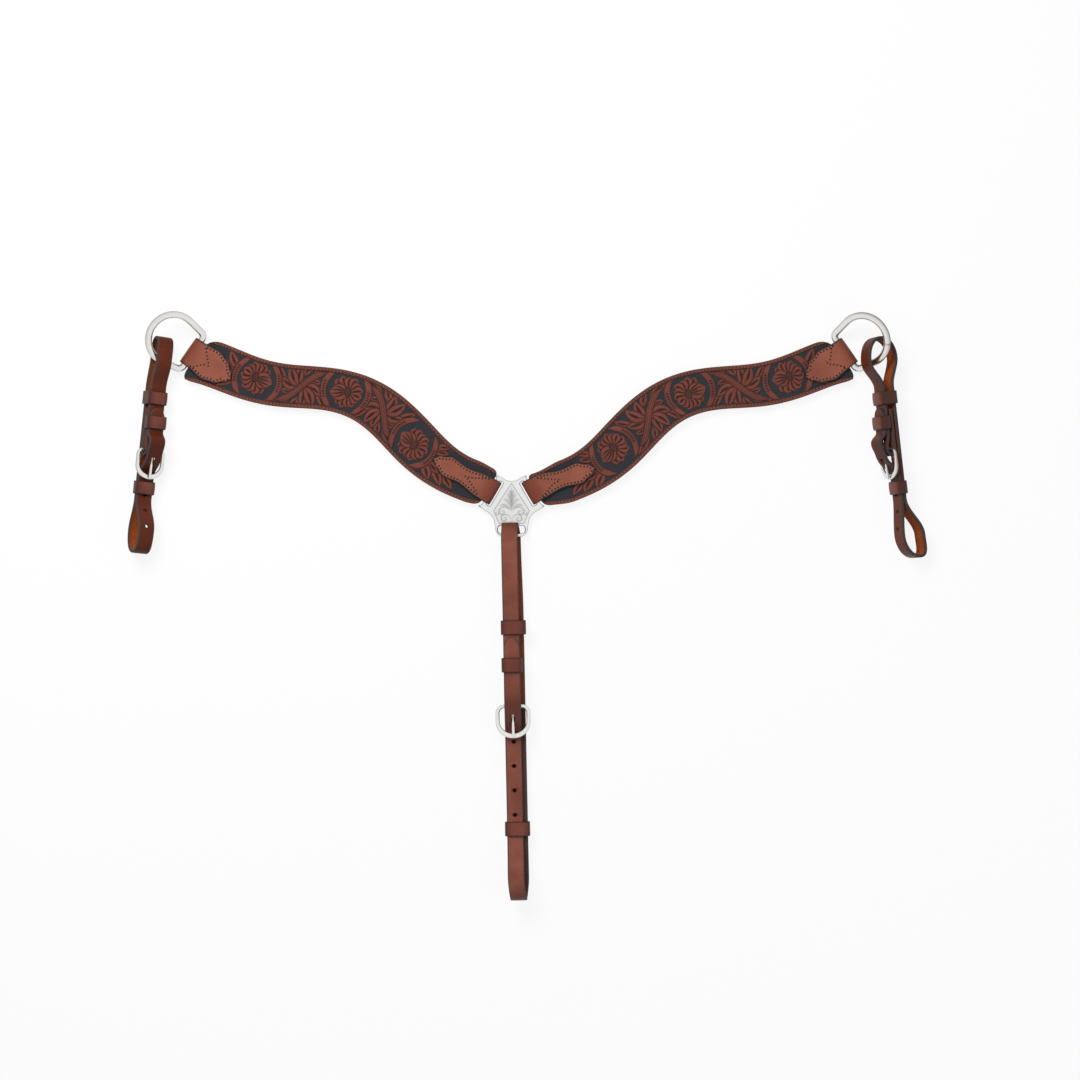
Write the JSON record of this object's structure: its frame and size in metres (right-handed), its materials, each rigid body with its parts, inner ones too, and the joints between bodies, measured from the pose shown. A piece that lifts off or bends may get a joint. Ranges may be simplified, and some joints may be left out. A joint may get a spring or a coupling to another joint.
{
  "type": "western breast collar",
  "caption": "Western breast collar of S-shaped tooled leather panels joined by a slotted metal plate, with D-rings and buckled straps for the saddle and girth.",
  "frame": {"origin": "on the surface it lies on, under the middle of its box", "axes": "+X across the collar towards its right tug, +Y up the chest, +Z out of the front face; it lies on its back"},
  "size_m": [0.918, 0.6734, 0.0439],
  "materials": {
    "tooled_leather": "floral tooling, brown relief on a black-dyed ground, satin",
    "lining_leather": "natural rough-out lining, matte",
    "tab_leather": "brown harness leather, satin, tan stitching",
    "strap_leather": "brown harness leather, satin grain side, orange-tan flesh side",
    "keeper_leather": "dark brown loop leather, satin",
    "ring_steel": "polished nickel plate",
    "engraved_silver": "polished silver plate, engraved scrollwork",
    "buckle_silver": "polished nickel plate"
  },
  "bodies": {
    "plate": {"center_plate": "engraved_silver"},
    "left_panel": {"left_panel": "tooled_leather", "left_panel_lining": "lining_leather", "left_plate_tab": "tab_leather", "left_ring_tab": "tab_leather"},
    "left_ring": {"left_d_ring": "ring_steel"},
    "right_panel": {"right_panel": "tooled_leather", "right_panel_lining": "lining_leather", "right_plate_tab": "tab_leather", "right_ring_tab": "tab_leather"},
    "right_ring": {"right_d_ring": "ring_steel"},
    "left_tug": {"left_tug_strap": "strap_leather", "left_tug_screw_post": "buckle_silver", "left_tug_screw_cap": "buckle_silver"},
    "left_tug_buckle": {"left_tug_buckle": "buckle_silver"},
    "left_tug_tongue": {"left_tug_tongue": "buckle_silver"},
    "left_tug_keeper_upper": {"left_tug_keeper_upper": "keeper_leather"},
    "left_tug_keeper_middle": {"left_tug_keeper_middle": "keeper_leather"},
    "left_tug_keeper_lower": {"left_tug_keeper_lower": "keeper_leather"},
    "right_tug": {"right_tug_strap": "strap_leather", "right_tug_screw_post": "buckle_silver", "right_tug_screw_cap": "buckle_silver"},
    "right_tug_buckle": {"right_tug_buckle": "buckle_silver"},
    "right_tug_tongue": {"right_tug_tongue": "buckle_silver"},
    "right_tug_keeper_upper": {"right_tug_keeper_upper": "keeper_leather"},
    "right_tug_keeper_middle": {"right_tug_keeper_middle": "keeper_leather"},
    "right_tug_keeper_lower": {"right_tug_keeper_lower": "keeper_leather"},
    "center_strap": {"center_strap_strap": "strap_leather", "center_strap_screw_post": "buckle_silver", "center_strap_screw_cap": "buckle_silver"},
    "center_strap_buckle": {"center_strap_buckle": "buckle_silver"},
    "center_strap_tongue": {"center_strap_tongue": "buckle_silver"},
    "center_strap_keeper_upper": {"center_strap_keeper_upper": "keeper_leather"},
    "center_strap_keeper_middle": {"center_strap_keeper_middle": "keeper_leather"},
    "center_strap_keeper_lower": {"center_strap_keeper_lower": "keeper_leather"}
  },
  "joints": [
    {"name": "left_panel_hinge", "type": "hinge", "parent": "plate", "child": "left_panel", "pos_m": [-0.04102, 0.13101, 0.00701], "axis": [0.5, 0.866, 0], "range_deg": [-75, 75]},
    {"name": "left_ring_hinge", "type": "hinge", "parent": "left_panel", "child": "left_ring", "pos_m": [-0.38442, 0.29071, 0.00701], "axis": [0.5736, 0.8192, 0], "range_deg": [-90, 60]},
    {"name": "right_panel_hinge", "type": "hinge", "parent": "plate", "child": "right_panel", "pos_m": [0.00518, 0.13101, 0.00701], "axis": [0.5, -0.866, 0], "range_deg": [-75, 75]},
    {"name": "right_ring_hinge", "type": "hinge", "parent": "right_panel", "child": "right_ring", "pos_m": [0.36558, 0.29071, 0.00701], "axis": [0.5736, -0.8192, 0], "range_deg": [-90, 60]},
    {"name": "left_tug_hinge", "type": "hinge", "parent": "left_ring", "child": "left_tug", "pos_m": [-0.41911, 0.28046, 0.019], "axis": [-0.7878, 0.4028, 0.466], "range_deg": [-45, 60]},
    {"name": "left_tug_buckle_hinge", "type": "hinge", "parent": "left_tug", "child": "left_tug_buckle", "pos_m": [-0.43013, 0.17805, 0.02034], "axis": [-0.8235, 0.0959, 0.5591], "range_deg": [-2, 5]},
    {"name": "left_tug_tongue_hinge", "type": "hinge", "parent": "left_tug_buckle", "child": "left_tug_tongue", "pos_m": [-0.43013, 0.17805, 0.02034], "axis": [-0.8235, 0.0959, 0.5591], "range_deg": [0, 6]},
    {"name": "left_tug_keeper_upper_slide", "type": "slide", "parent": "left_tug", "child": "left_tug_keeper_upper", "axis": [-0.0993, -0.9948, 0.0244], "range_m": [-0.006, 0.003]},
    {"name": "left_tug_keeper_middle_slide", "type": "slide", "parent": "left_tug", "child": "left_tug_keeper_middle", "axis": [-0.0993, -0.9948, 0.0244], "range_m": [-0.006, 0.003]},
    {"name": "left_tug_keeper_lower_slide", "type": "slide", "parent": "left_tug", "child": "left_tug_keeper_lower", "axis": [-0.0993, -0.9948, 0.0244], "range_m": [-0.002, 0.006]},
    {"name": "right_tug_hinge", "type": "hinge", "parent": "right_ring", "child": "right_tug", "pos_m": [0.39966, 0.27991, 0.02222], "axis": [-0.7184, -0.3967, -0.5714], "range_deg": [-35, 30]},
    {"name": "right_tug_buckle_hinge", "type": "hinge", "parent": "right_tug", "child": "right_tug_buckle", "pos_m": [0.41243, 0.17769, 0.02183], "axis": [-0.404, -0.0469, -0.9135], "range_deg": [-2, 5]},
    {"name": "right_tug_tongue_hinge", "type": "hinge", "parent": "right_tug_buckle", "child": "right_tug_tongue", "pos_m": [0.41243, 0.17769, 0.02183], "axis": [-0.404, -0.0469, -0.9135], "range_deg": [0, 6]},
    {"name": "right_tug_keeper_upper_slide", "type": "slide", "parent": "right_tug", "child": "right_tug_keeper_upper", "axis": [0.1115, -0.9938, 0.0017], "range_m": [-0.006, 0.003]},
    {"name": "right_tug_keeper_middle_slide", "type": "slide", "parent": "right_tug", "child": "right_tug_keeper_middle", "axis": [0.1115, -0.9938, 0.0017], "range_m": [-0.006, 0.003]},
    {"name": "right_tug_keeper_lower_slide", "type": "slide", "parent": "right_tug", "child": "right_tug_keeper_lower", "axis": [0.1115, -0.9938, 0.0017], "range_m": [-0.002, 0.006]},
    {"name": "center_strap_hinge", "type": "hinge", "parent": "plate", "child": "center_strap", "pos_m": [-0.01792, 0.08091, 0.00701], "axis": [1, 0, 0], "range_deg": [-4, 90]},
    {"name": "center_strap_buckle_hinge", "type": "hinge", "parent": "center_strap", "child": "center_strap_buckle", "pos_m": [-0.01632, -0.11488, 0.01799], "axis": [-0.9998, -0.0209, 0], "range_deg": [-2, 5]},
    {"name": "center_strap_tongue_hinge", "type": "hinge", "parent": "center_strap_buckle", "child": "center_strap_tongue", "pos_m": [-0.01632, -0.11488, 0.01799], "axis": [-0.9998, -0.0209, 0], "range_deg": [0, 6]},
    {"name": "center_strap_keeper_upper_slide", "type": "slide", "parent": "center_strap", "child": "center_strap_keeper_upper", "axis": [0.0209, -0.9994, 0.0262], "range_m": [-0.01, 0.003]},
    {"name": "center_strap_keeper_middle_slide", "type": "slide", "parent": "center_strap", "child": "center_strap_keeper_middle", "axis": [0.0209, -0.9994, 0.0262], "range_m": [-0.015, 0.005]},
    {"name": "center_strap_keeper_lower_slide", "type": "slide", "parent": "center_strap", "child": "center_strap_keeper_lower", "axis": [0.0209, -0.9994, 0.0262], "range_m": [-0.06, 0.006]}
  ]
}
